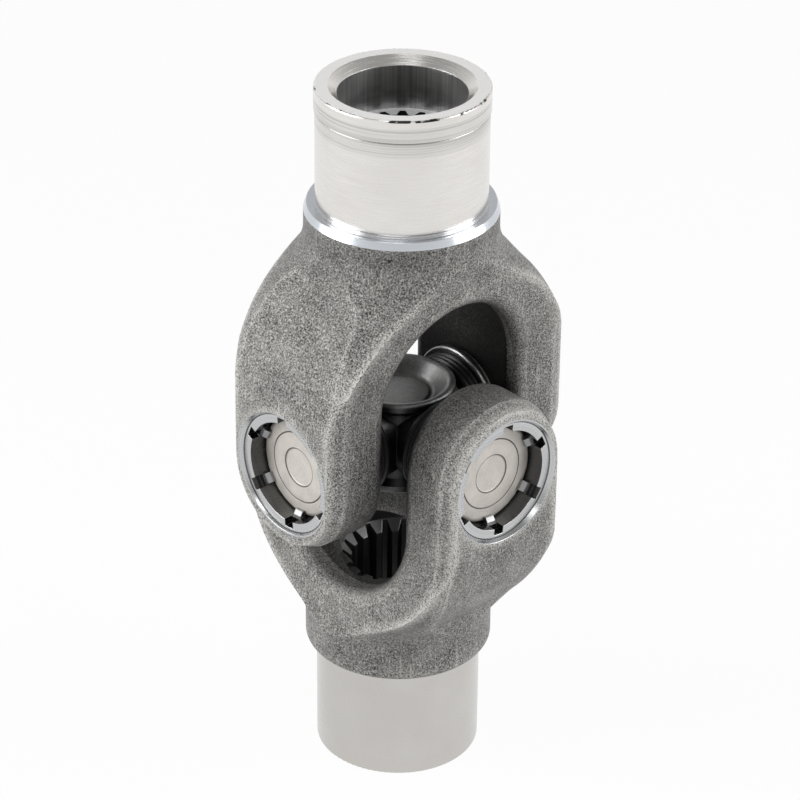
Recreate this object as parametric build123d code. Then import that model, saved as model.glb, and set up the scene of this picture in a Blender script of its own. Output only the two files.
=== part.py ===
"""Staked universal joint: two forged yokes at right angles, tied by a cross that turns in four caps.

The origin is the centre of the cross, and +Z is the common line of the two splined hubs. The lower
yoke's ears lie on the X axis and the upper yoke's ears on the Y axis. All lengths are millimetres.
"""

from build123d import *
import math
import os

# How far a cut runs past the face that it opens, and how near a corner is looked for
OVERCUT = 1.0
TINY = 0.01

# Hubs: turned outside, splined inside
HUB_END = 88.0
HUB_R = 20.0
HUB_EDGE_R = 0.45
BAND_R = 20.25
BAND_HEIGHT = 5.5
BAND_LINE_WIDTH = 0.35
BAND_LINE_DEPTH = 0.2
COUNTERBORE_R = 14.9
COUNTERBORE_DEPTH = 12.8
MOUTH_R = 17.1
MOUTH_DEPTH = 2.0

# Internal spline
SPLINE_TEETH = 18
SPLINE_ROOT_R = 13.7
SPLINE_TIP_R = 11.5
SLOT_ROOT_WIDTH = 1.3
SLOT_FLANK_ANGLE = 16.0
SPLINE_TURN = 7.7
SPLINE_LEAD_GAP = 0.2
SPLINE_LEAD_ANGLE = 45.0
SPLINE_LEAD_OVER = 0.4

# Forged collar between the hub and the ears
COLLAR_R = 22.7
COLLAR_END = 59.0
SHOULDER_BEVEL_WIDTH = 0.7
SHOULDER_BEVEL_HEIGHT = 1.8
HUB_ROOT = 4.0
UNDERCUT_DEPTH = 0.25
UNDERCUT_WIDTH = 0.5
FORGED_EDGE_R = 1.8

# Forged ears, as seen along the window between them
EAR_FACE = 37.1
EAR_TIP_FACE = 36.3
SHOULDER_START = 11.5
SHOULDER_R = 42.0
SHOULDER_ANGLE = 42.0
COLLAR_BLEND_R = 12.0
FLAT_OVER_COLLAR = 0.6
UPPER_RISE = 1.5
LOWER_RISE = 0.0

# Swing envelope: the round outside that trims the corners of the ears
SWING_R = 41.0
SWING_START = 10.8
SWING_SHOULDER_R = 42.0

# Forged ears, as seen along the bearing axis
EAR_TIP_R = 17.9
EAR_TIP_DROP = 1.3
SIDE_SPREAD_START = 18.0
SIDE_OVER_COLLAR = 0.3
SIDE_REACH = 51.0
SIDE_BEND_R = 60.0
BEVEL_START = 33.0
BEVEL_ANGLE = 23.0

# Window between the ears
EAR_INSIDE = 20.0
CROTCH = 37.0
WINDOW_EDGE_R = 3.6

# Bearing bore, spotface and stake marks in each ear
CAP_R = 12.5
CAP_FIT = 0.01
CAP_SUNK = 4.14
SPOTFACE_WIDTH = 2.2
SPOTFACE_FLARE = 32.0
STAKE_COUNT = 6
STAKE_START_ANGLE = 25.0
STAKE_CUT_WIDTH = 2.9
STAKE_CUT_REACH = 1.6
STAKE_LIP_REACH = 1.6
STAKE_LIP_ROOT = 0.6
STAKE_LIP_WIDTH = 2.5
STAKE_LIP_HEIGHT = 1.5
STAKE_LIP_NOSE = 0.8
STAKE_LIP_GAP = 0.02
STAKE_FLOOR_OVER_LIP = 0.32

# Bearing caps
CAP_FACE = 31.66
CAP_MOUTH = 19.0
CAP_FLOOR = 1.8
CAP_EDGE_R = 1.2
CAP_GROOVE_R = 8.8
CAP_GROOVE_WIDTH = 0.35
CAP_GROOVE_DEPTH = 0.15
CAP_RECESS_R = 4.8
CAP_RECESS_DEPTH = 0.3

# Needle rollers and thrust washers
TRUNNION_R = 7.35
NEEDLE_R = 1.25
NEEDLE_LENGTH = 8.9
NEEDLE_GAP = 0.02
NEEDLE_END_GAP = 0.25
WASHER_THICKNESS = 1.3
WASHER_GAP = 0.03
WASHER_CLEARANCE = 0.2

# Rubber seals and their steel rings
SEAL_R = 11.9
SEAL_RIBS = 3
SEAL_RIB_DEPTH = 0.7
SEAL_RIB_START = 0.35
SEAL_RIB_END = 0.65
SEAL_BORE_GAP = 0.05
SEAL_TO_CROSS = 0.3
RING_OVER_CAP = 0.8
RING_WIDTH = 1.4
RING_EDGE_R = 0.6

# Cross
CROSS_R = 11.8
CROSS_HALF_HEIGHT = 12.0
CROSS_RIM_R = 13.2
CROSS_RIM_DEPTH = 2.0
CROSS_RIM_EDGE = 0.9
CROSS_SHOULDER = 13.2
CROSS_SHOULDER_R = 10.2
CROSS_SHOULDER_EDGE = 0.8
TRUNNION_CHAMFER = 0.6
DISH_R = 11.6
DISH_FLOOR_R = 8.0
DISH_DEPTH = 3.6
DISH_LIP_R = 1.6
DISH_FLOOR_EDGE_R = 1.2
DISC_R = 6.8
DISC_RISE = 0.5
DISC_EDGE = 0.4

# Places worked out from the driving dimensions
BORE_R = CAP_R + CAP_FIT
SPOTFACE = CAP_FACE + CAP_SUNK
SPOTFACE_R = CAP_R + SPOTFACE_WIDTH
CAP_BORE_R = TRUNNION_R + 2 * NEEDLE_R + 2 * NEEDLE_GAP
CAP_FLOOR_FACE = CAP_FACE - CAP_FLOOR
WASHER_FACE = CAP_FLOOR_FACE - WASHER_THICKNESS
TRUNNION_END = WASHER_FACE - WASHER_GAP
NEEDLE_PITCH_R = TRUNNION_R + NEEDLE_GAP + NEEDLE_R
NEEDLE_COUNT = int(math.pi / math.asin((NEEDLE_R + NEEDLE_GAP / 2) / NEEDLE_PITCH_R))
NEEDLE_OUT = WASHER_FACE - NEEDLE_END_GAP
SEAL_IN = CROSS_SHOULDER + SEAL_TO_CROSS
RING_R = CAP_R + RING_OVER_CAP
SPLINE_LEAD_R = SPLINE_ROOT_R + SPLINE_LEAD_GAP
SPLINE_LEAD_HEIGHT = (SPLINE_LEAD_R - SPLINE_TIP_R) / math.tan(math.radians(SPLINE_LEAD_ANGLE))


def turned(points):
    """Solid turned about Z from a closed outline of (radius, height) points."""
    return revolve(Plane.XZ * make_face(Polyline(*points, close=True)), Axis.Z)


def flared_wall(wide_r, start, shoulder_r, narrow_r, top):
    """Chain of wall, convex shoulder, slope, concave blend and wall, as one open line of edges."""
    angle = math.radians(SHOULDER_ANGLE)
    drop = 1 - math.cos(angle)
    slope_top_r = wide_r - shoulder_r * drop
    slope_top = start + shoulder_r * math.sin(angle)
    slope_end_r = narrow_r + COLLAR_BLEND_R * drop
    slope_end = slope_top + (slope_top_r - slope_end_r) / math.tan(angle)
    blend_end = slope_end + COLLAR_BLEND_R * math.sin(angle)
    half = angle / 2
    shoulder_mid = (
        wide_r - shoulder_r * (1 - math.cos(half)),
        start + shoulder_r * math.sin(half),
    )
    blend_mid = (
        narrow_r + COLLAR_BLEND_R * (1 - math.cos(half)),
        blend_end - COLLAR_BLEND_R * math.sin(half),
    )
    shoulder = ThreePointArc((wide_r, start), shoulder_mid, (slope_top_r, slope_top))
    slope = Line((slope_top_r, slope_top), (slope_end_r, slope_end))
    blend = ThreePointArc((slope_end_r, slope_end), blend_mid, (narrow_r, blend_end))
    neck = Line((narrow_r, blend_end), (narrow_r, top))
    return Curve() + [shoulder, slope, blend, neck]


def ear_plane_block(rise):
    """Fork outline seen along the window, run right across the forging."""
    foot = -EAR_TIP_R - EAR_TIP_DROP - OVERCUT
    narrow = COLLAR_R + FLAT_OVER_COLLAR
    start = SHOULDER_START + rise
    wall = flared_wall(EAR_FACE, start, SHOULDER_R, narrow, COLLAR_END)
    side = Polyline((EAR_TIP_FACE, foot), (EAR_FACE, 0), (EAR_FACE, start))
    right = Curve() + [side, wall]
    left = mirror(right, Plane.YZ)
    base = Line((-EAR_TIP_FACE, foot), (EAR_TIP_FACE, foot))
    top = Line((-narrow, COLLAR_END), (narrow, COLLAR_END))
    outline = Plane.XZ * make_face(Curve() + [right, left, base, top])
    return extrude(outline, SWING_R, both=True)


def side_block():
    """Ear outline seen along the bearing axis: round tip, sides that spread to the collar, bevelled ends."""
    spread = (COLLAR_R + SIDE_OVER_COLLAR - EAR_TIP_R) / (SIDE_REACH - SIDE_SPREAD_START)
    top_half = EAR_TIP_R + (COLLAR_END - SIDE_SPREAD_START) * spread
    tip_ends = -EAR_TIP_DROP
    tip = ThreePointArc((-EAR_TIP_R, tip_ends), (0, -EAR_TIP_R - EAR_TIP_DROP), (EAR_TIP_R, tip_ends))
    rest = Polyline(
        (EAR_TIP_R, tip_ends),
        (EAR_TIP_R, SIDE_SPREAD_START),
        (top_half, COLLAR_END),
        (-top_half, COLLAR_END),
        (-EAR_TIP_R, SIDE_SPREAD_START),
        (-EAR_TIP_R, tip_ends),
    )
    outline = make_face(Curve() + [tip, rest])
    bends = outline.vertices().filter_by(lambda v: abs(v.Y - SIDE_SPREAD_START) < TINY)
    outline = fillet(bends, SIDE_BEND_R)
    middle = extrude(Plane.YZ * outline, BEVEL_START, both=True)
    reach = EAR_FACE + OVERCUT - BEVEL_START
    outward = Plane(origin=(BEVEL_START, 0, 0), x_dir=(0, 1, 0), z_dir=(1, 0, 0))
    end = extrude(outward * outline, reach, taper=BEVEL_ANGLE)
    return middle + end + mirror(end, Plane.YZ)


def swing_envelope(rise):
    """Turned outside of the whole forging: swing circle at the ears, collar at the hub."""
    foot = -EAR_TIP_R - EAR_TIP_DROP - OVERCUT
    start = SWING_START + rise
    wall = flared_wall(SWING_R, start, SWING_SHOULDER_R, COLLAR_R, COLLAR_END)
    rim = Line((SWING_R, foot), (SWING_R, start))
    base = Line((0, foot), (SWING_R, foot))
    top = Line((COLLAR_R, COLLAR_END), (0, COLLAR_END))
    axis = Line((0, COLLAR_END), (0, foot))
    return revolve(Plane.XZ * make_face(Curve() + [rim, wall, base, top, axis]), Axis.Z)


def window_block(rise):
    """Space between the ears: straight walls that end in a half round at the crotch."""
    foot = -EAR_TIP_R - EAR_TIP_DROP - OVERCUT
    centre = CROTCH + rise - EAR_INSIDE
    half_round = Pos(0, centre) * Circle(EAR_INSIDE)
    length = centre - foot
    walls = Pos(0, centre - length / 2) * Rectangle(2 * EAR_INSIDE, length)
    return extrude(Plane.XZ * (half_round + walls), SWING_R, both=True)


def forging(rise):
    """Raw fork: the three outlines crossed, the window cut and its edges rounded."""
    blank = ear_plane_block(rise) & side_block() & swing_envelope(rise)
    window = window_block(rise)
    fork = blank - window
    rims = new_edges(blank, window, combined=fork)
    return fillet(rims, WINDOW_EDGE_R)


def spline_cutter(start, end):
    """Bore to the tooth tips with a slot for each tooth space, between two heights."""
    height = end - start
    bore = Pos(0, 0, start + height / 2) * Cylinder(SPLINE_TIP_R, height)
    inner_r = SPLINE_TIP_R - OVERCUT
    root_half = SLOT_ROOT_WIDTH / 2
    inner_half = root_half + (SPLINE_ROOT_R - inner_r) * math.tan(math.radians(SLOT_FLANK_ANGLE))
    slot = make_face(
        Curve()
        + [
            Line((inner_r, -inner_half), (SPLINE_ROOT_R, -root_half)),
            Line((SPLINE_ROOT_R, -root_half), (SPLINE_ROOT_R, root_half)),
            Line((SPLINE_ROOT_R, root_half), (inner_r, inner_half)),
            Line((inner_r, inner_half), (inner_r, -inner_half)),
        ]
    )
    first = Rot(0, 0, SPLINE_TURN)
    slots = first * PolarLocations(0, SPLINE_TEETH) * extrude(Pos(0, 0, start) * slot, height)
    return bore + list(slots)


def hub_outside(banded, shouldered):
    """Turned hub from the collar to the end face, with its band, thin line and undercut if it has them."""
    end_r = BAND_R if banded else HUB_R
    root = COLLAR_END - HUB_ROOT
    outline = [(0, root), (HUB_R, root)]
    if shouldered:
        neck_r = HUB_R - UNDERCUT_DEPTH
        outline += [(HUB_R, COLLAR_END), (neck_r, COLLAR_END), (neck_r, COLLAR_END + UNDERCUT_WIDTH)]
        outline += [(HUB_R, COLLAR_END + UNDERCUT_WIDTH + UNDERCUT_DEPTH)]
    if banded:
        line_top = HUB_END - BAND_HEIGHT
        outline += [(HUB_R, line_top - BAND_LINE_WIDTH), (HUB_R - BAND_LINE_DEPTH, line_top)]
        outline += [(end_r, line_top)]
    outline += [(end_r, HUB_END), (0, HUB_END)]
    hub = turned(outline)
    rim = hub.edges().filter_by(GeomType.CIRCLE).group_by(Axis.Z)[-1]
    return fillet(rim, HUB_EDGE_R)


def hub_bores(rise):
    """Everything cut along the hub's axis: mouth, counterbore, spline and the lead-in at the crotch."""
    step = HUB_END - COUNTERBORE_DEPTH
    foot = CROTCH + rise - EAR_INSIDE
    lead_end = CROTCH + rise + SPLINE_LEAD_OVER
    mouth = turned(
        [
            (0, step),
            (COUNTERBORE_R, step),
            (COUNTERBORE_R, HUB_END - MOUTH_DEPTH),
            (MOUTH_R, HUB_END),
            (MOUTH_R, HUB_END + OVERCUT),
            (0, HUB_END + OVERCUT),
        ]
    )
    lead = turned(
        [
            (0, foot),
            (SPLINE_LEAD_R, foot),
            (SPLINE_LEAD_R, lead_end - SPLINE_LEAD_HEIGHT),
            (SPLINE_TIP_R, lead_end),
            (0, lead_end),
        ]
    )
    return mouth + spline_cutter(foot, step + OVERCUT) + lead


def stake_marks():
    """Punch cuts and the lips pushed in over the cap, for the ear on +X: the cuts first, then the lips."""
    cuts = []
    lips = []
    lip_r = BORE_R - STAKE_LIP_REACH
    lip_end_r = BORE_R + STAKE_LIP_ROOT
    lip_foot = CAP_FACE + STAKE_LIP_GAP
    lip_top = lip_foot + STAKE_LIP_HEIGHT
    cut_floor = lip_top + STAKE_FLOOR_OVER_LIP
    cut_length = STAKE_LIP_REACH + STAKE_CUT_REACH
    cut_height = EAR_FACE + OVERCUT - cut_floor
    for index in range(STAKE_COUNT):
        turn = Rot(STAKE_START_ANGLE + index * 360 / STAKE_COUNT, 0, 0)
        cut_middle = Pos(cut_floor + cut_height / 2, lip_r + cut_length / 2, 0)
        cuts.append(turn * cut_middle * Box(cut_height, cut_length, STAKE_CUT_WIDTH))
        outline = Polyline(
            (lip_foot, lip_r),
            (lip_foot + STAKE_LIP_NOSE, lip_r),
            (lip_top, (lip_r + lip_end_r) / 2),
            (lip_top, lip_end_r),
            (lip_foot, lip_end_r),
            close=True,
        )
        lips.append(turn * extrude(make_face(outline), STAKE_LIP_WIDTH / 2, both=True))
    return cuts, lips


def bearing_seat():
    """Bore, spotface and stake cuts for the ear on +X, and the stake lips that stay."""
    cuts, lips = stake_marks()
    outward = Plane(origin=(0, 0, 0), x_dir=(0, 1, 0), z_dir=(1, 0, 0))
    reach = max(EAR_FACE, SPOTFACE) + OVERCUT
    bore = extrude(outward * Circle(BORE_R), reach)
    spotface = extrude(outward.offset(SPOTFACE) * Circle(SPOTFACE_R), reach - SPOTFACE, taper=-SPOTFACE_FLARE)
    return bore + spotface + cuts, lips


def shoulder_bevel():
    """Ring cut off the collar where the hub's shoulder was turned."""
    foot = COLLAR_END - SHOULDER_BEVEL_HEIGHT
    return turned(
        [
            (COLLAR_R - SHOULDER_BEVEL_WIDTH, COLLAR_END),
            (COLLAR_R, foot),
            (COLLAR_R + OVERCUT, foot),
            (COLLAR_R + OVERCUT, COLLAR_END),
        ]
    )


def yoke(rise, banded, shouldered):
    """Finished yoke with its ears on the X axis and its hub up the Z axis."""
    body = forging(rise)
    if shouldered:
        body = body - shoulder_bevel()
    else:
        rim = body.edges().filter_by(GeomType.CIRCLE).group_by(Axis.Z)[-1]
        body = fillet(rim, FORGED_EDGE_R)
    body = body + hub_outside(banded, shouldered)
    body = body - hub_bores(rise)
    seat, lips = bearing_seat()
    body = body - seat - mirror(seat, Plane.YZ)
    for lip in lips:
        body = body + lip + mirror(lip, Plane.YZ)
    return body


def bearing_cap():
    """Drawn cap, closed outward, with a circle and a shallow recess turned in its face."""
    groove_in = CAP_GROOVE_R - CAP_GROOVE_WIDTH / 2
    groove_out = CAP_GROOVE_R + CAP_GROOVE_WIDTH / 2
    cap = turned(
        [
            (0, CAP_FLOOR_FACE),
            (CAP_BORE_R, CAP_FLOOR_FACE),
            (CAP_BORE_R, CAP_MOUTH),
            (CAP_R, CAP_MOUTH),
            (CAP_R, CAP_FACE),
            (groove_out, CAP_FACE),
            (CAP_GROOVE_R, CAP_FACE - CAP_GROOVE_DEPTH),
            (groove_in, CAP_FACE),
            (CAP_RECESS_R, CAP_FACE),
            (CAP_RECESS_R - CAP_RECESS_DEPTH, CAP_FACE - CAP_RECESS_DEPTH),
            (0, CAP_FACE - CAP_RECESS_DEPTH),
        ]
    )
    outer = cap.edges().filter_by(GeomType.CIRCLE).group_by(Axis.Z)[-1].sort_by(SortBy.RADIUS)[-1]
    return fillet(outer, CAP_EDGE_R)


def needle_ring():
    """Full complement of needle rollers round one trunnion."""
    needle = Pos(0, 0, NEEDLE_OUT - NEEDLE_LENGTH / 2) * Cylinder(NEEDLE_R, NEEDLE_LENGTH)
    return Compound(list(PolarLocations(NEEDLE_PITCH_R, NEEDLE_COUNT) * needle))


def thrust_washer():
    """Plain disc between the end of the trunnion and the floor of the cap."""
    washer_r = CAP_BORE_R - WASHER_CLEARANCE
    return Pos(0, 0, WASHER_FACE + WASHER_THICKNESS / 2) * Cylinder(washer_r, WASHER_THICKNESS)


def seal():
    """Ribbed rubber ring on the trunnion, from just off the cross up to the mouth of the cap."""
    bore_r = TRUNNION_R + SEAL_BORE_GAP
    ring_in = CAP_MOUTH - RING_WIDTH
    pitch = (ring_in - SEAL_IN) / SEAL_RIBS
    outline = [(bore_r, SEAL_IN)]
    for rib in range(SEAL_RIBS):
        foot = SEAL_IN + rib * pitch
        outline.append((SEAL_R - SEAL_RIB_DEPTH, foot))
        outline.append((SEAL_R, foot + SEAL_RIB_START * pitch))
        outline.append((SEAL_R, foot + SEAL_RIB_END * pitch))
    outline.append((SEAL_R - SEAL_RIB_DEPTH, ring_in))
    outline.append((SEAL_R - SEAL_RIB_DEPTH, CAP_MOUTH))
    outline.append((bore_r, CAP_MOUTH))
    return turned(outline)


def seal_ring():
    """Thin steel ring that holds the seal at the mouth of the cap."""
    inner_r = SEAL_R - SEAL_RIB_DEPTH
    ring_in = CAP_MOUTH - RING_WIDTH
    ring = turned([(inner_r, ring_in), (RING_R, ring_in), (RING_R, CAP_MOUTH), (inner_r, CAP_MOUTH)])
    outer = ring.edges().filter_by(GeomType.CIRCLE).group_by(Axis.Z)[0].sort_by(SortBy.RADIUS)[-1]
    return fillet(outer, RING_EDGE_R)


def cross():
    """Forged cross: dished boss up and down, four shoulders and four ground trunnions."""
    top = CROSS_HALF_HEIGHT
    rim_foot = top - CROSS_RIM_DEPTH
    neck = rim_foot - (CROSS_RIM_R - CROSS_R)
    floor = top - DISH_DEPTH
    hollow = [
        (0, floor + DISC_RISE),
        (DISC_R, floor + DISC_RISE),
        (DISC_R + DISC_EDGE, floor),
        (DISH_FLOOR_R, floor),
        (DISH_R, top),
    ]
    upper_half = hollow + [(CROSS_RIM_R, top), (CROSS_RIM_R, rim_foot), (CROSS_R, neck)]
    lower_half = [(r, -z) for r, z in reversed(upper_half)]
    outline = make_face(Polyline(*upper_half, *lower_half, close=True))
    for corner_r, height, edge_r in (
        (DISH_FLOOR_R, floor, DISH_FLOOR_EDGE_R),
        (DISH_R, top, DISH_LIP_R),
        (CROSS_RIM_R, top, CROSS_RIM_EDGE),
    ):
        corners = outline.vertices().filter_by(lambda v: abs(v.X - corner_r) + abs(abs(v.Y) - height) < TINY)
        outline = fillet(corners, edge_r)
    body = revolve(Plane.XZ * outline, Axis.Z)
    dish = turned(hollow + [(DISH_R, top + OVERCUT), (0, top + OVERCUT)])
    shoulder = Cylinder(CROSS_SHOULDER_R, 2 * CROSS_SHOULDER)
    shoulder = chamfer(shoulder.edges().filter_by(GeomType.CIRCLE), CROSS_SHOULDER_EDGE)
    trunnion = Cylinder(TRUNNION_R, 2 * TRUNNION_END)
    trunnion = chamfer(trunnion.edges().filter_by(GeomType.CIRCLE), TRUNNION_CHAMFER)
    bar = shoulder + trunnion
    arms = Rot(0, 90, 0) * bar + Rot(90, 0, 0) * bar
    return body + (arms - dish - mirror(dish, Plane.XY))


def bearing_pieces():
    """The pieces of one bearing, built up the Z axis from the centre of the cross."""
    return {
        "bearing_cap": bearing_cap(),
        "needle_rollers": needle_ring(),
        "thrust_washer": thrust_washer(),
        "seal": seal(),
        "seal_ring": seal_ring(),
    }


def build():
    """Every piece of the joint by name."""
    upper = Rot(0, 0, 90) * yoke(UPPER_RISE, banded=True, shouldered=True)
    lower = Rot(180, 0, 0) * yoke(LOWER_RISE, banded=False, shouldered=False)
    pieces = {"upper_yoke": upper, "lower_yoke": lower, "cross": cross()}
    places = {
        "x_plus": Rot(0, 90, 0),
        "x_minus": Rot(0, -90, 0),
        "y_plus": Rot(-90, 0, 0),
        "y_minus": Rot(90, 0, 0),
    }
    bearing = bearing_pieces()
    for side, place in places.items():
        for name, piece in bearing.items():
            pieces[f"{name}_{side}"] = place * piece
    return pieces


os.makedirs("parts", exist_ok=True)
for node, piece in build().items():
    export_step(piece, f"parts/{node}.step")
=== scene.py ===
"""Looks of the staked universal joint: finishes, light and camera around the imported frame.

Lengths are metres in the frame of the solids. The hubs lie on Z, with the upper one at +Z, the ears
of the lower yoke on X and those of the upper yoke on Y. Noise draws the marks of each surface, and
masks made from the object's own coordinates say which face gets which finish.
"""

import math
from types import SimpleNamespace

import bpy
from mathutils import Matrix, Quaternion, Vector


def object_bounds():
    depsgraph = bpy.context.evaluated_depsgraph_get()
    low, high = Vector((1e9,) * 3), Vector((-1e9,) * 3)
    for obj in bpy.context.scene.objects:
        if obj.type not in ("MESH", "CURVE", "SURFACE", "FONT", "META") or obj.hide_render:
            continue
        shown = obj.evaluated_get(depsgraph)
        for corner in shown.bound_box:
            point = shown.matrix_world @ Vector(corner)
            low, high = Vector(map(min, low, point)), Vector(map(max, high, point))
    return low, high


MM = 0.001

# Hub, as the solids have it
HUB_END = 88.0 * MM
HUB_EDGE_R = 0.45 * MM
BAND_R = 20.25 * MM
BAND_LINE = 82.33 * MM
COUNTERBORE_R = 14.9 * MM
COUNTERBORE_DEPTH = 12.8 * MM
SPLINE_ROOT_R = 13.7 * MM
SPLINE_LEAD_GAP = 0.2 * MM
COLLAR_END = 59.0 * MM
SHOULDER_BEVEL_HEIGHT = 1.8 * MM
STEP_HEIGHT = HUB_END - COUNTERBORE_DEPTH
SPLINE_LEAD_R = SPLINE_ROOT_R + SPLINE_LEAD_GAP
SHOULDER_FOOT = COLLAR_END - SHOULDER_BEVEL_HEIGHT

# Bearing caps, and the seats and spotfaces around them
CAP_R = 12.5 * MM
CAP_FIT = 0.01 * MM
CAP_FACE = 31.66 * MM
CAP_SUNK = 4.14 * MM
CAP_GROOVE_R = 8.8 * MM
CAP_RECESS_R = 4.8 * MM
SPOTFACE_WIDTH = 2.2 * MM
SPOTFACE_RIM_R = 15.6 * MM
SEAT_BORE_R = CAP_R + CAP_FIT
SPOTFACE = CAP_FACE + CAP_SUNK
SPOTFACE_R = CAP_R + SPOTFACE_WIDTH

# Window between the ears, up to the crotch of the upper yoke
EAR_INSIDE = 20.0 * MM
UPPER_CROTCH = 38.5 * MM
WINDOW_CENTRE = UPPER_CROTCH - EAR_INSIDE

# How far a mask reaches past the face that it covers
FACE_TOLERANCE = 0.06 * MM

# How far a drawn line reaches to either side of its middle
SEAT_LINE_REACH = 0.14 * MM
BAND_LINE_REACH = 0.3 * MM
CAP_GROOVE_REACH = 0.17 * MM
# The line round a cap's recess is painted shade
CAP_RECESS_REACH = 0.15 * MM

# Marked band round the hub's line, and how far inward from a cap's face its lines are drawn
BAND_REACH = 3.6 * MM
CAP_FACE_DEPTH = 1.0 * MM

# Height below the hub's end in which its edge is dented
DENTED_HEIGHT = 0.5 * MM

# Radius that only the hub's outer wall lies beyond
OUTER_WALL_R = 19.0 * MM

# Window's painted highlight rim and painted shade inside: how far off the middle and past the ears and
# crotch
RIM_SIDE_START = 16.2 * MM
RIM_SIDE_END = 16.5 * MM
RIM_OVER_EAR = 3.4 * MM
INSIDE_FADE_START = 17.0 * MM
INSIDE_FADE_END = 16.0 * MM
INSIDE_OVER_EAR = 2.0 * MM
OVER_CROTCH = 2.0 * MM
WINDOW_RAGGED = 1.6 * MM

# Ridges worn and given painted highlight, the heights between which both fade, and the share that stays
RIDGE_R = 4.6 * MM
WEAR_AND_HIGHLIGHT_FADE = (38.0 * MM, 47.0 * MM)
WEAR_AND_HIGHLIGHT_LEFT = 0.25

# Heights between which the upper yoke's skin gets darker, and the share of its tone that stays
TONE_FADE = (42.0 * MM, 54.0 * MM)
TONE_LEFT = 0.76

# Rust spot under the upper collar
RUST_SPOT = (14.9 * MM, -17.1 * MM, 54.6 * MM)
RUST_R = 1.1 * MM
RUST_RAGGED = 1.2 * MM

# How far a point looks around for what shades it, to place the painted shade
YOKE_OPEN_REACH = 22.0 * MM
CROSS_OPEN_REACH = 14.0 * MM

# Size of the marks on the yokes
GRAIN = 0.36 * MM
FINE_GRAIN = 0.16 * MM
SPECK = 0.48 * MM
SCRATCH = 0.6 * MM
STREAK = 2.6 * MM
PATCH = 8.0 * MM
TURNING_MARK = 0.22 * MM
HUB_CLOUD = 12.0 * MM
BAND_MARK = 0.5 * MM
RIM_DENT = 5.0 * MM
SEAT_MARK = 0.3 * MM
BORE_STREAK = 0.9 * MM

# Scale of the coordinates along the way in which a mark is drawn out
SCRATCH_SQUEEZE = 0.05
STREAK_SQUEEZE = 0.1
TURNING_SQUEEZE = 0.03
BAND_SQUEEZE = 0.004
BORE_SQUEEZE = 0.02

# Middle of the blasted grain, and the range in which most of any noise lies
GRAIN_MIDDLE = 0.51
NOISE_LOW = 0.3
NOISE_HIGH = 0.7

# Tone that each kind of mark adds, on a scale from a surface's dark colour to its light one
GRAIN_TONE = 0.55
PATCH_TONE = 0.18
STREAK_TONE = 0.12
PALE_SPECK_TONE = 0.34
DARK_SPECK_TONE = -0.24
SCRATCH_TONE = 0.22
# Painted highlight on the window's rim
WINDOW_HIGHLIGHT_TONE = 0.1
TURNING_TONE = 0.45
HUB_CLOUD_TONE = 0.3
BORE_STREAK_TONE = 0.6
BORE_RING_TONE = 0.4

# Metallic share of the forged skin and of the pale flat faces, where other machined faces have one
FORGED_METAL = 0.75
FLAT_METAL = 0.2

# Roughness of the yokes, and what wear, dull faces and the shoulder add to it
FORGED_ROUGHNESS = (0.38, 0.6)
TURNED_ROUGHNESS = (0.18, 0.3)
WORN_ROUGHNESS = -0.14
DULL_ROUGHNESS = 0.13
SHOULDER_ROUGHNESS = -0.05

# Strength and depth of the yokes' bumps, the finer pits' part in them, and how far edges are rounded
FORGED_BUMP = 1.0
FORGED_DEPTH = 0.3 * MM
FINE_PITS = 0.4
TURNED_DEPTH = 0.004 * MM
YOKE_EDGE_R = 0.25 * MM

# Size of the mottling on the other metals, and the radius of the cross's worn rims
METAL_GRAIN = 0.3 * MM
METAL_CLOUD = 3.6 * MM
CAP_CLOUD = 4.0 * MM
CROSS_GRAIN = 0.5 * MM
CROSS_CLOUD = 5.0 * MM
CROSS_RIM_R = 0.7 * MM

# Strength of the bumps on machined and moulded faces, and their depth where moulded
METAL_BUMP = 0.6
MOULDED_BUMP = 0.5
MOULDED_DEPTH = 0.01 * MM

# Colours of the forged skin
FORGED_DARK = (0.035, 0.034, 0.033, 1.0)
FORGED_LIGHT = (0.57, 0.56, 0.535, 1.0)
# Painted shade, laid over the forged skin in its corners and in the window
FORGED_SHADE = (0.008, 0.008, 0.008, 1.0)
RUST = (0.045, 0.028, 0.02, 1.0)

# Colours of the turned hub
HUB_DARK = (0.64, 0.615, 0.585, 1.0)
HUB_LIGHT = (0.96, 0.945, 0.92, 1.0)
BAND_MARKS = (0.3, 0.3, 0.3, 1.0)
RIM_FACE = (0.97, 0.96, 0.94, 1.0)
GROOVE = (0.42, 0.41, 0.4, 1.0)
SHOULDER = (0.6, 0.63, 0.67, 1.0)
DENT = (0.03, 0.03, 0.03, 1.0)

# Colours of the spotfaces and the seats
SEAT_DARK = (0.4, 0.405, 0.41, 1.0)
SEAT_LIGHT = (0.62, 0.625, 0.63, 1.0)
SEAT_LINE = (0.12, 0.12, 0.12, 1.0)
STAKE_LIP = (0.28, 0.28, 0.28, 1.0)
# Painted shade on the sunk wall between the spotface and the cap
SHADED_SUNK_SEAT = (0.12, 0.12, 0.12, 1.0)

# Colours of the bore
BORE_DARK = (0.26, 0.26, 0.257, 1.0)
BORE_LIGHT = (0.62, 0.615, 0.61, 1.0)
# Painted shade down the splined bore
SHADED_SPLINED_BORE = (0.17, 0.17, 0.17, 1.0)
# The step is painted pale, as lit from above
LIT_STEP_FACE = (0.88, 0.885, 0.9, 1.0)

# Camera, fitted to the photograph, with its sensor and lens in millimetres as Blender takes them
VIEW_TARGET = (0.0, 0.0, 6.2 * MM)
VIEW_DISTANCE = 0.8
VIEW_AZIMUTH = -42.31
VIEW_ELEVATION = 29.5
VIEW_ROLL = 0.51
SENSOR_WIDTH = 36.0
LENS = 151.8
CLIP_START = 0.01

# Soft lights: name, azimuth, elevation, size and watts
SOFTBOXES = (
    ("left_softbox", -122.0, 22.0, 0.5, 3.7),
    ("right_softbox", 42.0, 22.0, 0.5, 3.0),
    ("top_softbox", -56.0, 58.0, 0.3, 0.9),
)
SOFTBOX_DISTANCE = 0.7

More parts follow.
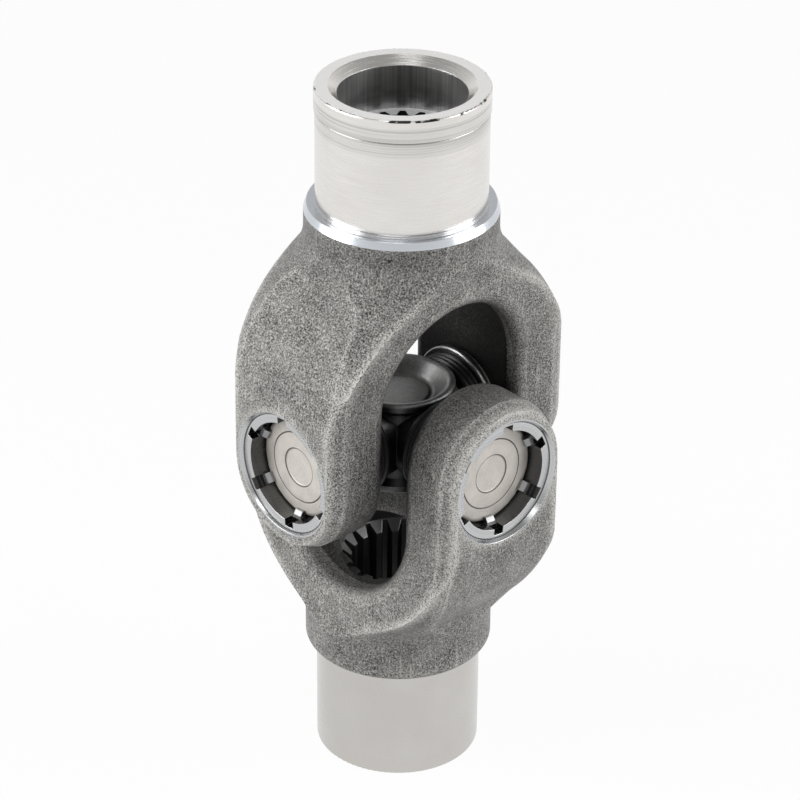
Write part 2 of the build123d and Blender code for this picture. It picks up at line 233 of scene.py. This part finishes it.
# World: its strength at the horizon and overhead, and the heights of the sky between which it falls
WORLD_STRENGTH = 0.5
WORLD_OVERHEAD = 0.12
WORLD_FALL = (0.15, 0.8)
MIRRORED_OVERHEAD = 0.35
MIRRORED_FALL = (0.1, 0.75)

# Floor
FLOOR_SIZE = 6.0
FLOOR_COLOUR = (0.9, 0.9, 0.9, 1.0)
FLOOR_GLOW_SHARE = 0.95

WHITE = (1.0, 1.0, 1.0, 1.0)
BEVEL_SAMPLES = 6
OPENNESS_SAMPLES = 8


def add(tree, kind, **settings):
    """New node of a kind, with its plain settings."""
    node = tree.nodes.new(kind)
    for name, value in settings.items():
        setattr(node, name, value)
    return node


def feed(tree, socket, value):
    """Give a socket a number, a colour or another socket's output."""
    if isinstance(value, bpy.types.NodeSocket):
        tree.links.new(value, socket)
    else:
        socket.default_value = value


def calc(tree, operation, first, second=0.0, third=0.0):
    """One math node."""
    node = add(tree, "ShaderNodeMath", operation=operation)
    feed(tree, node.inputs[0], first)
    feed(tree, node.inputs[1], second)
    feed(tree, node.inputs[2], third)
    return node.outputs[0]


def scaled(tree, value, share):
    """Value times a share."""
    return calc(tree, "MULTIPLY", value, share)


def raised(tree, base, mask, amount):
    """Base plus an amount of the mask."""
    return calc(tree, "MULTIPLY_ADD", mask, amount, base)


def average(tree, first, second):
    """Mean of two values."""
    return raised(tree, scaled(tree, second, 0.5), first, 0.5)


def blend(tree, mask, low, high):
    """Number that goes from low to high with the mask."""
    node = add(tree, "ShaderNodeMix", data_type="FLOAT")
    feed(tree, node.inputs[0], mask)
    feed(tree, node.inputs[2], low)
    feed(tree, node.inputs[3], high)
    return node.outputs[0]


def tint(tree, mask, low, high):
    """Colour that goes from low to high with the mask."""
    node = add(tree, "ShaderNodeMix", data_type="RGBA")
    feed(tree, node.inputs[0], mask)
    feed(tree, node.inputs[6], low)
    feed(tree, node.inputs[7], high)
    return node.outputs[2]


def painted(tree, colour, layers):
    """Colour with further colours laid over it in turn, each by its own mask."""
    for mask, over in layers:
        colour = tint(tree, mask, colour, over)
    return colour


def spread(tree, value, low, high, out_low=0.0, out_high=1.0):
    """Value stretched from one range to another and held inside it."""
    node = add(tree, "ShaderNodeMapRange", clamp=True)
    feed(tree, node.inputs["Value"], value)
    node.inputs["From Min"].default_value = low
    node.inputs["From Max"].default_value = high
    node.inputs["To Min"].default_value = out_low
    node.inputs["To Max"].default_value = out_high
    return node.outputs["Result"]


def full_range(tree, noise, out_low=0.0, out_high=1.0):
    """Noise stretched so that the range in which most of it lies fills another one."""
    return spread(tree, noise, NOISE_LOW, NOISE_HIGH, out_low, out_high)


def speckle(tree, vector, grain, detail=2.0, roughness=0.5):
    """Noise whose features are about one grain across, in metres."""
    node = add(tree, "ShaderNodeTexNoise")
    feed(tree, node.inputs["Vector"], vector)
    node.inputs["Scale"].default_value = 1.0 / grain
    node.inputs["Detail"].default_value = detail
    node.inputs["Roughness"].default_value = roughness
    return node.outputs["Fac"]


def bump(tree, height, distance, strength, normal):
    """Bump of a real depth, in metres, over a normal."""
    node = add(tree, "ShaderNodeBump")
    node.inputs["Strength"].default_value = strength
    node.inputs["Distance"].default_value = distance
    feed(tree, node.inputs["Height"], height)
    feed(tree, node.inputs["Normal"], normal)
    return node.outputs["Normal"]


def soft_edges(tree, radius):
    """Normal that rounds the sharp edges by a radius, in metres."""
    node = add(tree, "ShaderNodeBevel", samples=BEVEL_SAMPLES)
    node.inputs["Radius"].default_value = radius
    return node.outputs["Normal"]


def openness(tree, reach):
    """One in the open, falling to zero deep in a corner or a hole, as seen over a reach in metres."""
    node = add(tree, "ShaderNodeAmbientOcclusion", samples=OPENNESS_SAMPLES)
    node.inputs["Distance"].default_value = reach
    return node.outputs["AO"]


def split_axes(tree, place):
    """The x, y and z of a place."""
    axes = add(tree, "ShaderNodeSeparateXYZ")
    feed(tree, axes.inputs[0], place)
    return axes.outputs


def stretched(tree, vector, scale):
    """Coordinates scaled on each axis, so that noise runs into lines along the small ones."""
    node = add(tree, "ShaderNodeVectorMath", operation="MULTIPLY")
    feed(tree, node.inputs[0], vector)
    node.inputs[1].default_value = scale
    return node.outputs[0]


def along_z(tree, place, squeeze):
    """Coordinates in which noise runs into lines along Z."""
    return stretched(tree, place, (1.0, 1.0, squeeze))


def round_z(tree, place, squeeze):
    """Coordinates in which noise runs into rings round Z."""
    return stretched(tree, place, (squeeze, squeeze, 1.0))


def radius_of(tree, first, second):
    """Distance from an axis, from the two coordinates across it."""
    squares = calc(tree, "MULTIPLY_ADD", second, second, calc(tree, "MULTIPLY", first, first))
    return calc(tree, "SQRT", squares)


def above(tree, value, limit):
    """One where the value is over the limit."""
    return calc(tree, "GREATER_THAN", value, limit)


def below(tree, value, limit):
    """One where the value is under the limit."""
    return calc(tree, "LESS_THAN", value, limit)


def near(tree, value, place, reach):
    """One where the value is within a reach of a place."""
    return below(tree, calc(tree, "ABSOLUTE", calc(tree, "SUBTRACT", value, place)), reach)


def both(tree, first, second):
    """One where both masks are one."""
    return calc(tree, "MULTIPLY", first, second)


def either(tree, first, second):
    """One where either mask is one."""
    return calc(tree, "MAXIMUM", first, second)


def outside(tree, mask):
    """One where the mask is zero."""
    return calc(tree, "SUBTRACT", 1.0, mask)


def worn_edges(tree, radius):
    """Zero on the flat and rising on ridges, from how far a rounded normal leans off the true one."""
    agreement = add(tree, "ShaderNodeVectorMath", operation="DOT_PRODUCT")
    feed(tree, agreement.inputs[0], soft_edges(tree, radius))
    feed(tree, agreement.inputs[1], add(tree, "ShaderNodeNewGeometry").outputs["Normal"])
    return outside(tree, agreement.outputs["Value"])


def dimmed(colour, share):
    """Colour at a share of its brightness."""
    return (*(part * share for part in colour[:3]), 1.0)


def start_material(name):
    """Empty material with its shader and the object's own coordinates."""
    material = bpy.data.materials.new(name)
    material.use_nodes = True
    tree = material.node_tree
    shader = next(n for n in tree.nodes if n.type == "BSDF_PRINCIPLED")
    place = add(tree, "ShaderNodeTexCoord").outputs["Object"]
    return material, tree, shader, place


def yoke_places(tree, place, up, ears_on_x):
    """Where a point lies on a yoke: along and beside its ears, up its hub and off the two axes."""
    x, y, z = split_axes(tree, place)
    along, across = (x, y) if ears_on_x else (y, x)
    return SimpleNamespace(
        z=z,
        height=scaled(tree, z, up),
        along=along,
        reach=calc(tree, "ABSOLUTE", along),
        aside=calc(tree, "ABSOLUTE", across),
        hub_radius=radius_of(tree, x, y),
        seat_radius=radius_of(tree, across, z),
    )


def hub_masks(tree, at, turned_foot):
    """Masks of the turned hub and its bore. Band, line and dented edge are on the upper hub only."""
    turned = above(tree, at.height, turned_foot)
    bored = both(
        tree,
        below(tree, at.hub_radius, SPLINE_LEAD_R + FACE_TOLERANCE),
        above(tree, at.height, WINDOW_CENTRE),
    )
    mouth = both(tree, below(tree, at.hub_radius, COUNTERBORE_R + FACE_TOLERANCE), turned)
    inner = either(tree, bored, mouth)
    return SimpleNamespace(
        turned=turned,
        bored=bored,
        inner=inner,
        step_face=both(tree, near(tree, at.height, STEP_HEIGHT, FACE_TOLERANCE), inner),
        shoulder=both(tree, turned, below(tree, at.height, COLLAR_END + FACE_TOLERANCE)),
        rim_top=both(tree, turned, above(tree, at.height, HUB_END - FACE_TOLERANCE)),
        rim_edge=both(
            tree,
            above(tree, at.z, HUB_END - DENTED_HEIGHT),
            above(tree, at.hub_radius, BAND_R - HUB_EDGE_R),
        ),
        band=both(tree, near(tree, at.z, BAND_LINE, BAND_REACH), turned),
        line=both(
            tree,
            near(tree, at.z, BAND_LINE, BAND_LINE_REACH),
            above(tree, at.hub_radius, OUTER_WALL_R),
        ),
    )


def seat_masks(tree, at):
    """Masks of the spotface round a cap: the whole, its line, its stake lips and its sunk floor."""
    lip_edge = SEAT_BORE_R - FACE_TOLERANCE
    whole = both(
        tree,
        below(tree, at.seat_radius, SPOTFACE_RIM_R),
        above(tree, at.reach, EAR_INSIDE + FACE_TOLERANCE),
    )
    return SimpleNamespace(
        whole=whole,
        line=near(tree, at.seat_radius, SPOTFACE_R, SEAT_LINE_REACH),
        lip=both(tree, below(tree, at.seat_radius, lip_edge), whole),
        sunk=both(
            tree,
            above(tree, at.seat_radius, lip_edge),
            below(tree, at.reach, SPOTFACE - FACE_TOLERANCE),
        ),
    )


def window_highlight_and_shade_masks(tree, at, grain):
    """Masks of the window: rim for painted highlight, inside for painted shade, both ragged with the
    grain.
    """
    ragged_side = raised(tree, at.aside, grain, WINDOW_RAGGED)
    ragged_reach = raised(tree, at.reach, grain, WINDOW_RAGGED)
    under_crotch = below(tree, at.height, UPPER_CROTCH + OVER_CROTCH)
    rim_reach = both(tree, below(tree, at.reach, EAR_INSIDE + RIM_OVER_EAR), under_crotch)
    rim_side = both(
        tree,
        above(tree, ragged_side, RIM_SIDE_START),
        below(tree, at.aside, RIM_SIDE_END),
    )
    inner_reach = both(tree, below(tree, ragged_reach, EAR_INSIDE + INSIDE_OVER_EAR), under_crotch)
    inner_side = spread(tree, ragged_side, INSIDE_FADE_START, INSIDE_FADE_END)
    return SimpleNamespace(
        rim=both(tree, rim_reach, rim_side),
        inside=both(tree, inner_reach, inner_side),
    )


def forged_marks(tree, place, grain, grain_span):
    """Tone of the blasted skin, from its grain, patches, streaks, specks and scratches."""
    peaks = spread(tree, grain, GRAIN_MIDDLE - grain_span, GRAIN_MIDDLE + grain_span)
    patches = full_range(tree, speckle(tree, place, PATCH, detail=3.0, roughness=0.6))
    tone = raised(tree, scaled(tree, peaks, GRAIN_TONE), patches, PATCH_TONE)
    streaks = speckle(tree, along_z(tree, place, STREAK_SQUEEZE), STREAK, roughness=0.7)
    specks = speckle(tree, place, SPECK, detail=1.0)
    scratches = speckle(tree, along_z(tree, place, SCRATCH_SQUEEZE), SCRATCH, detail=1.0)
    marks = (
        spread(tree, streaks, 0.62, 0.78, out_high=STREAK_TONE),
        spread(tree, specks, 0.6, 0.68, out_high=PALE_SPECK_TONE),
        spread(tree, specks, 0.3, 0.42, out_low=DARK_SPECK_TONE, out_high=0.0),
        spread(tree, scratches, 0.61, 0.69, out_high=SCRATCH_TONE),
    )
    for mark in marks:
        tone = calc(tree, "ADD", tone, mark)
    return tone


def ridge_wear_and_highlight(tree, height):
    """Wear and painted highlight along the forged ridges, less of both towards the hub."""
    ridges = spread(tree, worn_edges(tree, RIDGE_R), 0.004, 0.045)
    return both(tree, ridges, spread(tree, height, *WEAR_AND_HIGHLIGHT_FADE, 1.0, WEAR_AND_HIGHLIGHT_LEFT))


def rusted(tree, place, grain, spot, colour):
    """Colour with one ragged spot of rust on it."""
    away = add(tree, "ShaderNodeVectorMath", operation="DISTANCE")
    feed(tree, away.inputs[0], place)
    away.inputs[1].default_value = spot
    ragged = raised(tree, away.outputs["Value"], grain, RUST_RAGGED)
    return tint(tree, below(tree, ragged, RUST_R), colour, RUST)


def unshaded(tree, window):
    """Share of the colour left by painted shade: less in corners, least in the window, more on its rim.
    """
    open_air = openness(tree, YOKE_OPEN_REACH)
    in_corners = spread(tree, open_air, 0.4, 0.97)
    in_window = spread(tree, open_air, 0.55, 0.9, out_low=0.02, out_high=0.42)
    on_lit_rim = spread(tree, open_air, 0.4, 0.7, out_high=0.85)
    share = both(tree, in_corners, blend(tree, window.inside, 1.0, in_window))
    return either(tree, share, both(tree, window.rim, on_lit_rim))


def forged_colour(tree, place, at, grain, grain_span, wear, rust_spot):
    """Colour of the forged skin: painted highlight on worn ridges and window rims, painted shade in
    hollows.
    """
    window = window_highlight_and_shade_masks(tree, at, grain)
    tone = forged_marks(tree, place, grain, grain_span)
    # Ridges get paler with wear, and this paleness is also a painted highlight
    tone = raised(tree, tone, wear, spread(tree, grain, 0.4, 0.6, out_low=0.2, out_high=0.9))
    tone = both(tree, tone, spread(tree, at.z, *TONE_FADE, 1.0, TONE_LEFT))
    # Painted highlight along the window's rim
    tone = raised(tree, tone, window.rim, WINDOW_HIGHLIGHT_TONE)
    colour = tint(tree, tone, FORGED_DARK, FORGED_LIGHT)
    if rust_spot is not None:
        colour = rusted(tree, place, grain, rust_spot, colour)
    # Painted shade darkens the skin in its corners and in the window
    return tint(tree, unshaded(tree, window), FORGED_SHADE, colour)


def turned_colour(tree, place, hub, rings, hub_share, ring_share):
    """Colour of the turned hub, with its marked band and line, its shoulder, rim and dents."""
    clouds = speckle(tree, place, HUB_CLOUD)
    tone = raised(tree, scaled(tree, clouds, HUB_CLOUD_TONE), rings, TURNING_TONE * ring_share)
    plain = tint(tree, tone, dimmed(HUB_DARK, hub_share), dimmed(HUB_LIGHT, hub_share))
    band_noise = speckle(tree, round_z(tree, place, BAND_SQUEEZE), BAND_MARK, detail=1.0)
    band_marks = spread(tree, band_noise, 0.5, 0.62, out_low=0.15, out_high=0.5)
    dents = spread(tree, speckle(tree, place, RIM_DENT, detail=3.0, roughness=0.7), 0.4, 0.46)
    layers = (
        (both(tree, band_marks, hub.band), BAND_MARKS),
        (hub.rim_top, RIM_FACE),
        (hub.line, GROOVE),
        (hub.shoulder, SHOULDER),
        (both(tree, hub.rim_edge, outside(tree, dents)), DENT),
    )
    return painted(tree, plain, layers)


def seat_colour(tree, at, seat):
    """Spotface colour, scratched in rings, with its line, stake lips and painted shade on its sunk
    floor.
    """
    around_seat = add(tree, "ShaderNodeCombineXYZ")
    feed(tree, around_seat.inputs[0], at.seat_radius)
    feed(tree, around_seat.inputs[1], at.along)
    marks = speckle(tree, around_seat.outputs[0], SEAT_MARK, roughness=0.6)
    layers = (
        (seat.line, SEAT_LINE),
        (seat.lip, STAKE_LIP),
        # Painted shade on the sunk floor
        (seat.sunk, SHADED_SUNK_SEAT),
    )
    return painted(tree, tint(tree, marks, SEAT_DARK, SEAT_LIGHT), layers)


def bore_colour(tree, place, hub, rings):
    """Mouth and splined bore streaked along Z; bore in painted shade, step between them painted as lit.
    """
    noise = speckle(tree, along_z(tree, place, BORE_SQUEEZE), BORE_STREAK, roughness=0.7)
    streaks = spread(tree, noise, 0.35, 0.65)
    tone = raised(tree, scaled(tree, rings, BORE_RING_TONE), streaks, BORE_STREAK_TONE)
    layers = (
        # Painted shade in the splined bore and painted light on the step
        (hub.bored, SHADED_SPLINED_BORE),
        (hub.step_face, LIT_STEP_FACE),
    )
    return painted(tree, tint(tree, tone, BORE_DARK, BORE_LIGHT), layers)


def yoke_metal(tree, machined, hub, wear):
    """How metallic a yoke is: less on its forged skin, and least on its pale flat faces."""
    flats = either(tree, hub.step_face, hub.rim_top)
    forged_metal = raised(tree, FORGED_METAL, wear, 1.0 - FORGED_METAL)
    machined_metal = raised(tree, 1.0, flats, FLAT_METAL - 1.0)
    return blend(tree, machined, forged_metal, machined_metal)


def yoke_roughness(tree, machined, hub, seat, fine, rings, wear):
    """Roughness of a yoke: satin where machined, duller in bores, line and lips, dull where forged."""
    skin = raised(tree, spread(tree, fine, 0.2, 0.8, *FORGED_ROUGHNESS), wear, WORN_ROUGHNESS)
    dull = either(tree, seat.lip, either(tree, hub.line, hub.inner))
    smooth = raised(tree, full_range(tree, rings, *TURNED_ROUGHNESS), dull, DULL_ROUGHNESS)
    smooth = raised(tree, smooth, hub.shoulder, SHOULDER_ROUGHNESS)
    return blend(tree, machined, skin, smooth)


def yoke_skin(tree, machined, grain, fine, rings, ring_share):
    """Normal of a yoke: pitted where forged and finely ringed where machined, with soft edges."""
    pits = both(tree, raised(tree, grain, fine, FINE_PITS), outside(tree, machined))
    pitted = bump(tree, pits, FORGED_DEPTH, FORGED_BUMP, soft_edges(tree, YOKE_EDGE_R))
    return bump(tree, both(tree, rings, machined), TURNED_DEPTH * ring_share, METAL_BUMP, pitted)


def yoke_material(name, up, ears_on_x, turned_foot, hub_share, grain_span, ring_share, rust_spot=None):
    """Shot-blasted forging with turned hub, bores and spotfaces, in one material."""
    material, tree, shader, place = start_material(name)
    at = yoke_places(tree, place, up, ears_on_x)
    hub = hub_masks(tree, at, turned_foot)
    seat = seat_masks(tree, at)
    machined = either(tree, either(tree, hub.turned, hub.inner), seat.whole)
    grain = speckle(tree, place, GRAIN, roughness=0.7)
    fine = speckle(tree, place, FINE_GRAIN, detail=1.0)
    rings = speckle(tree, round_z(tree, place, TURNING_SQUEEZE), TURNING_MARK, roughness=0.7)
    wear = ridge_wear_and_highlight(tree, at.height)

    forged = forged_colour(tree, place, at, grain, grain_span, wear, rust_spot)
    turned = turned_colour(tree, place, hub, rings, hub_share, ring_share)
    machined_layers = (
        (seat.whole, seat_colour(tree, at, seat)),
        (hub.inner, bore_colour(tree, place, hub, rings)),
    )
    colour = tint(tree, machined, forged, painted(tree, turned, machined_layers))
    roughness = yoke_roughness(tree, machined, hub, seat, fine, rings, wear)
    feed(tree, shader.inputs["Base Color"], colour)
    feed(tree, shader.inputs["Metallic"], yoke_metal(tree, machined, hub, wear))
    feed(tree, shader.inputs["Roughness"], roughness)
    feed(tree, shader.inputs["Normal"], yoke_skin(tree, machined, grain, fine, rings, ring_share))
    return material


def upper_yoke_material():
    """Upper yoke: its ears on Y, a turned shoulder, a ringed bright hub and the rust spot."""
    return yoke_material(
        "upper_forging",
        up=1.0,
        ears_on_x=False,
        turned_foot=SHOULDER_FOOT,
        hub_share=0.98,
        grain_span=0.1,
        ring_share=1.0,
        rust_spot=RUST_SPOT,
    )


def lower_yoke_material():
    """Lower yoke: its ears on X, and a plainer and darker hub that is turned from the collar's end."""
    return yoke_material(
        "lower_forging",
        up=-1.0,
        ears_on_x=True,
        turned_foot=COLLAR_END + FACE_TOLERANCE,
        hub_share=0.79,
        grain_span=0.14,
        ring_share=0.2,
    )


def finish(tree, shader, colour, tone, fine, metallic, roughness, strength, depth, edge):
    """Set colour and metal, a roughness range that follows the tone, and fine bumps over soft edges."""
    feed(tree, shader.inputs["Base Color"], colour)
    shader.inputs["Metallic"].default_value = metallic
    feed(tree, shader.inputs["Roughness"], full_range(tree, tone, *roughness))
    feed(tree, shader.inputs["Normal"], bump(tree, fine, depth, strength, soft_edges(tree, edge)))


def metal_material(name, dark, light, **surface):
    """Plain satin metal with fine mottling."""
    material, tree, shader, place = start_material(name)
    clouds = speckle(tree, place, METAL_CLOUD, detail=3.0, roughness=0.6)
    mottle = speckle(tree, place, METAL_GRAIN, roughness=0.6)
    tone = average(tree, mottle, clouds)
    colour = tint(tree, full_range(tree, tone), dark, light)
    finish(tree, shader, colour, tone, mottle, metallic=1.0, strength=METAL_BUMP, **surface)
    return material


def roller_material():
    """Bright ground steel of the needle rollers."""
    dark = (0.5, 0.5, 0.5, 1.0)
    light = (0.75, 0.75, 0.74, 1.0)
    return metal_material(
        "roller_steel", dark, light, roughness=(0.12, 0.2), depth=0.002 * MM, edge=0.1 * MM
    )


def ring_material():
    """Darker pressed steel of the seal rings."""
    dark = (0.26, 0.26, 0.265, 1.0)
    light = (0.42, 0.42, 0.425, 1.0)
    return metal_material(
        "ring_steel", dark, light, roughness=(0.26, 0.34), depth=0.003 * MM, edge=0.6 * MM
    )


def groove_line_and_recess_shade(tree, place):
    """Mask of the circle on a cap's face, and of painted shade at the edge of its recess."""
    x, y, z = split_axes(tree, place)
    off_x = calc(tree, "ABSOLUTE", x)
    off_y = calc(tree, "ABSOLUTE", y)
    outward = calc(tree, "MAXIMUM", off_x, off_y)
    radius = radius_of(tree, calc(tree, "MINIMUM", off_x, off_y), z)
    circles = either(
        tree,
        near(tree, radius, CAP_GROOVE_R, CAP_GROOVE_REACH),
        near(tree, radius, CAP_RECESS_R, CAP_RECESS_REACH),
    )
    return both(tree, circles, above(tree, outward, CAP_FACE - CAP_FACE_DEPTH))


def cap_material():
    """Drawn steel of the caps, with a dark line in the circle and painted shade round the recess of the
    face.
    """
    dark = (0.5, 0.472, 0.438, 1.0)
    light = (0.68, 0.645, 0.605, 1.0)
    line = (0.13, 0.12, 0.11, 1.0)
    material, tree, shader, place = start_material("cap_steel")
    mottle = speckle(tree, place, METAL_GRAIN, roughness=0.6)
    tone = average(tree, mottle, speckle(tree, place, CAP_CLOUD))
    plain = tint(tree, full_range(tree, tone), dark, light)
    # Dark line in the circle and painted shade round the recess
    colour = tint(tree, groove_line_and_recess_shade(tree, place), plain, line)
    finish(
        tree,
        shader,
        colour,
        tone,
        mottle,
        metallic=0.6,
        roughness=(0.5, 0.6),
        strength=METAL_BUMP,
        depth=0.008 * MM,
        edge=0.3 * MM,
    )
    return material


def cross_material():
    """Dark forged steel of the cross, with painted shade in its corners and pale along its worn rims.
    """
    dark = (0.18, 0.18, 0.18, 1.0)
    light = (0.38, 0.378, 0.375, 1.0)
    worn = (0.8, 0.79, 0.77, 1.0)
    shade = (0.012, 0.012, 0.012, 1.0)
    material, tree, shader, place = start_material("cross_steel")
    clouds = speckle(tree, place, CROSS_CLOUD, detail=3.0, roughness=0.6)
    mottle = speckle(tree, place, CROSS_GRAIN, roughness=0.6)
    tone = average(tree, mottle, clouds)
    plain = tint(tree, full_range(tree, tone), dark, light)
    wear = spread(tree, worn_edges(tree, CROSS_RIM_R), 0.01, 0.08, out_high=0.8)
    rimmed = tint(tree, both(tree, wear, mottle), plain, worn)
    # Painted shade in the cross's corners
    share = spread(tree, openness(tree, CROSS_OPEN_REACH), 0.4, 0.85)
    colour = tint(tree, share, shade, rimmed)
    finish(
        tree,
        shader,
        colour,
        tone,
        mottle,
        metallic=0.85,
        roughness=(0.3, 0.44),
        strength=METAL_BUMP,
        depth=0.03 * MM,
        edge=0.5 * MM,
    )
    return material


def moulded_material(name, dark, light, grain, roughness, edge):
    """Rubber or plastic with a fine grain."""
    material, tree, shader, place = start_material(name)
    fine = speckle(tree, place, grain)
    finish(
        tree,
        shader,
        tint(tree, fine, dark, light),
        fine,
        fine,
        metallic=0.0,
        roughness=roughness,
        strength=MOULDED_BUMP,
        depth=MOULDED_DEPTH,
        edge=edge,
    )
    return material


def rubber_material():
    """Black glossy rubber of the seals."""
    dark = (0.006, 0.006, 0.007, 1.0)
    light = (0.016, 0.016, 0.017, 1.0)
    return moulded_material(
        "seal_rubber", dark, light, grain=0.3 * MM, roughness=(0.34, 0.46), edge=0.15 * MM
    )


def plastic_material():
    """Pale moulded plastic of the thrust washers."""
    dark = (0.72, 0.7, 0.61, 1.0)
    light = (0.8, 0.78, 0.7, 1.0)
    return moulded_material(
        "washer_plastic", dark, light, grain=0.5 * MM, roughness=(0.45, 0.6), edge=0.1 * MM
    )


def dress(frame):
    """Give every node its finish."""
    finishes = {
        "upper_yoke": upper_yoke_material(),
        "lower_yoke": lower_yoke_material(),
        "cross": cross_material(),
        "bearing_cap": cap_material(),
        "needle_rollers": roller_material(),
        "thrust_washer": plastic_material(),
        "seal_ring": ring_material(),
        "seal": rubber_material(),
    }
    for name, node in frame["nodes"].items():
        kind = name
        for side in ("_x_plus", "_x_minus", "_y_plus", "_y_minus"):
            kind = kind.removesuffix(side)
        node.data.materials.clear()
        node.data.materials.append(finishes[kind])


def aimed(location, target, roll=0.0):
    """Turn that looks from a location at a target, rolled about the line of sight."""
    turn = (Vector(target) - Vector(location)).to_track_quat("-Z", "Y")
    return turn @ Quaternion((0, 0, 1), math.radians(roll))


def on_sphere(target, azimuth, elevation, distance):
    """Point at a distance from the target, with azimuth 0 along +X."""
    flat = math.cos(math.radians(elevation))
    way = Vector(
        (
            flat * math.cos(math.radians(azimuth)),
            flat * math.sin(math.radians(azimuth)),
            math.sin(math.radians(elevation)),
        )
    )
    return Vector(target) + way * distance


def place_camera():
    """Camera at the photograph's place, with its field of view."""
    data = bpy.data.cameras.new("camera")
    data.sensor_width = SENSOR_WIDTH
    data.lens = LENS
    data.clip_start = CLIP_START
    camera = bpy.data.objects.new("camera", data)
    camera.location = on_sphere(VIEW_TARGET, VIEW_AZIMUTH, VIEW_ELEVATION, VIEW_DISTANCE)
    camera.rotation_mode = "QUATERNION"
    camera.rotation_quaternion = aimed(camera.location, VIEW_TARGET, VIEW_ROLL)
    bpy.context.scene.collection.objects.link(camera)
    bpy.context.scene.camera = camera


def place_lights():
    """Square soft lights from both sides and a little from above, all looking at the joint."""
    centre = (0, 0, 0)
    for name, azimuth, elevation, size, watts in SOFTBOXES:
        data = bpy.data.lights.new(name, "AREA")
        data.shape = "SQUARE"
        data.size = size
        data.energy = watts
        lamp = bpy.data.objects.new(name, data)
        lamp.location = on_sphere(centre, azimuth, elevation, SOFTBOX_DISTANCE)
        lamp.rotation_mode = "QUATERNION"
        lamp.rotation_quaternion = aimed(lamp.location, centre)
        bpy.context.scene.collection.objects.link(lamp)


def seen_white(tree):
    """One for the rays that see a white background: the camera's, reflected and refracted ones."""
    path = add(tree, "ShaderNodeLightPath")
    mirrored = either(tree, path.outputs["Is Glossy Ray"], path.outputs["Is Transmission Ray"])
    return either(tree, path.outputs["Is Camera Ray"], mirrored)


def place_world():
    """White surroundings, dimmer for the light that they give and dimmest overhead."""
    world = bpy.data.worlds.new("studio")
    world.use_nodes = True
    tree = world.node_tree
    background = next(n for n in tree.nodes if n.type == "BACKGROUND")
    background.inputs["Color"].default_value = WHITE
    upward = split_axes(tree, add(tree, "ShaderNodeTexCoord").outputs["Generated"])["Z"]
    glow = spread(tree, upward, *WORLD_FALL, WORLD_STRENGTH, WORLD_OVERHEAD)
    mirrored = spread(tree, upward, *MIRRORED_FALL, 1.0, MIRRORED_OVERHEAD)
    path = add(tree, "ShaderNodeLightPath")
    seen = blend(tree, path.outputs["Is Camera Ray"], mirrored, 1.0)
    feed(tree, background.inputs["Strength"], blend(tree, seen_white(tree), glow, seen))
    bpy.context.scene.world = world


def place_floor(height):
    """White floor that keeps the joint's shadow."""
    bpy.ops.mesh.primitive_plane_add(size=FLOOR_SIZE, location=(0, 0, height))
    floor = bpy.context.object
    floor.name = "floor"
    material = bpy.data.materials.new("floor_white")
    material.use_nodes = True
    tree = material.node_tree
    tree.nodes.clear()
    output = add(tree, "ShaderNodeOutputMaterial")
    paint = add(tree, "ShaderNodeBsdfDiffuse")
    paint.inputs["Color"].default_value = FLOOR_COLOUR
    glow = add(tree, "ShaderNodeEmission")
    glow.inputs["Strength"].default_value = 1.0
    mix = add(tree, "ShaderNodeMixShader")
    feed(tree, mix.inputs[0], scaled(tree, seen_white(tree), FLOOR_GLOW_SHARE))
    tree.links.new(paint.outputs[0], mix.inputs[1])
    tree.links.new(glow.outputs[0], mix.inputs[2])
    tree.links.new(mix.outputs[0], output.inputs["Surface"])
    floor.data.materials.append(material)


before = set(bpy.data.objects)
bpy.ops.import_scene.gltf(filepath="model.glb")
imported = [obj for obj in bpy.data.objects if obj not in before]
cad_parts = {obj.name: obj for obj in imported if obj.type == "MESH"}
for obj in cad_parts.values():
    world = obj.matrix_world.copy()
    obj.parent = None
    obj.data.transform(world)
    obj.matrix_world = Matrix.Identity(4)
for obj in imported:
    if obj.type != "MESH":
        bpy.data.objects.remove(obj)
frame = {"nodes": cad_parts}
cad_low, cad_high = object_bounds()
dress(frame)
place_world()
place_floor(cad_low[2])
place_lights()
place_camera()
bpy.context.scene.view_settings.view_transform = "Standard"
